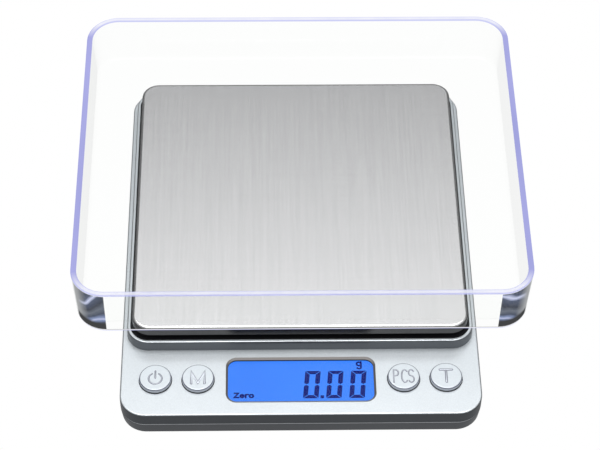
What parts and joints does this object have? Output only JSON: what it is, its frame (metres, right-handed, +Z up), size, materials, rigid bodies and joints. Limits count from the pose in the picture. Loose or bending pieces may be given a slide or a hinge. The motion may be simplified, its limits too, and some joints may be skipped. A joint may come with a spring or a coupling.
{
  "type": "digital gram scale",
  "caption": "Pocket digital scale: silver housing with raised collar, square steel platform, blue display, round keys, clear lift-off tray, hinged battery door.",
  "frame": {"origin": "on the desk, under the centre of the housing's footprint", "axes": "+X to the user's right, +Y away from the user towards the battery end, +Z up"},
  "size_m": [0.135, 0.1381, 0.0366],
  "materials": {
    "silver_paint": "pale silver metallic lacquer on moulded ABS, fine flake",
    "silver_base": "moulded silver-grey ABS",
    "key_paint": "pale silver lacquered caps",
    "switch_black": "moulded black nylon",
    "plunger_plastic": "natural nylon",
    "foot_rubber": "soft dark rubber",
    "connector_rubber": "striped silicone connector",
    "clear_acrylic": "clear acrylic window",
    "clear_tray_plastic": "clear moulded polystyrene",
    "adhesive": "double-sided tape",
    "lcd_blue": "blue backlit liquid crystal panel",
    "backlight_white": "white light guide",
    "board_green": "green solder mask",
    "epoxy_black": "black epoxy and chip packages",
    "zinc_steel": "bright zinc-plated steel",
    "nickel_contact": "nickel-plated spring steel",
    "cell_wrap": "plain dark battery wrap",
    "wire_red": "red insulated wire",
    "wire_black": "black insulated wire",
    "wire_mixed": "fine insulated leads",
    "cell_aluminium": "milled aluminium",
    "sealant_white": "white silicone sealant",
    "frame_black": "moulded black ABS",
    "plate_steel": "fine crosswise brushed stainless steel"
  },
  "bodies": {
    "housing": {"battery_front": "cell_wrap", "battery_lead_black": "wire_black", "battery_lead_red": "wire_red", "battery_link_contact": "nickel_contact", "battery_negative_contact": "nickel_contact", "battery_positive_contact": "nickel_contact", "battery_rear": "cell_wrap", "board_components": "epoxy_black", "board_screws": "zinc_steel", "bottom_housing": "silver_base", "controller_chip": "epoxy_black", "count_switch": "switch_black", "display_lens": "clear_acrylic", "display_tape": "adhesive", "foot_front_left": "foot_rubber", "foot_front_right": "foot_rubber", "foot_rear_left": "foot_rubber", "foot_rear_right": "foot_rubber", "housing_screws": "zinc_steel", "lcd_backlight": "backlight_white", "lcd_connector": "connector_rubber", "lcd_panel": "lcd_blue", "load_cell": "cell_aluminium", "load_cell_screws": "zinc_steel", "load_cell_wires": "wire_mixed", "main_circuit_board": "board_green", "mode_switch": "switch_black", "power_switch": "switch_black", "strain_gauges": "sealant_white", "tare_switch": "switch_black", "top_housing": "silver_paint"},
    "platform": {"platform_plate": "plate_steel", "platform_tape": "adhesive", "platform_frame": "frame_black", "platform_screws": "zinc_steel", "load_cell_spacer": "cell_aluminium"},
    "tray": {"clear_tray": "clear_tray_plastic"},
    "door": {"battery_door": "silver_base"},
    "power_button": {"power_key": "key_paint", "power_plunger": "plunger_plastic"},
    "mode_button": {"mode_key": "key_paint", "mode_plunger": "plunger_plastic"},
    "count_button": {"count_key": "key_paint", "count_plunger": "plunger_plastic"},
    "tare_button": {"tare_key": "key_paint", "tare_plunger": "plunger_plastic"}
  },
  "joints": [
    {"name": "platform_press", "type": "slide", "parent": "housing", "child": "platform", "axis": [0, 0, -1], "range_m": [0, 0.0005], "stiffness_N_per_m": 16000, "deforming": ["load_cell"]},
    {"name": "tray_lift", "type": "slide", "parent": "platform", "child": "tray", "axis": [0, 0, 1], "range_m": [0, 0.06]},
    {"name": "battery_door_hinge", "type": "hinge", "parent": "housing", "child": "door", "pos_m": [0, 0.036, 0.0023], "axis": [-1, 0, 0], "range_deg": [0, 75]},
    {"name": "power_key_press", "type": "slide", "parent": "housing", "child": "power_button", "axis": [0, 0, -1], "range_m": [0, 0.0004], "stiffness_N_per_m": 150, "springref_m": -0.002},
    {"name": "mode_key_press", "type": "slide", "parent": "housing", "child": "mode_button", "axis": [0, 0, -1], "range_m": [0, 0.0004], "stiffness_N_per_m": 150, "springref_m": -0.002},
    {"name": "count_key_press", "type": "slide", "parent": "housing", "child": "count_button", "axis": [0, 0, -1], "range_m": [0, 0.0004], "stiffness_N_per_m": 150, "springref_m": -0.002},
    {"name": "tare_key_press", "type": "slide", "parent": "housing", "child": "tare_button", "axis": [0, 0, -1], "range_m": [0, 0.0004], "stiffness_N_per_m": 150, "springref_m": -0.002}
  ]
}
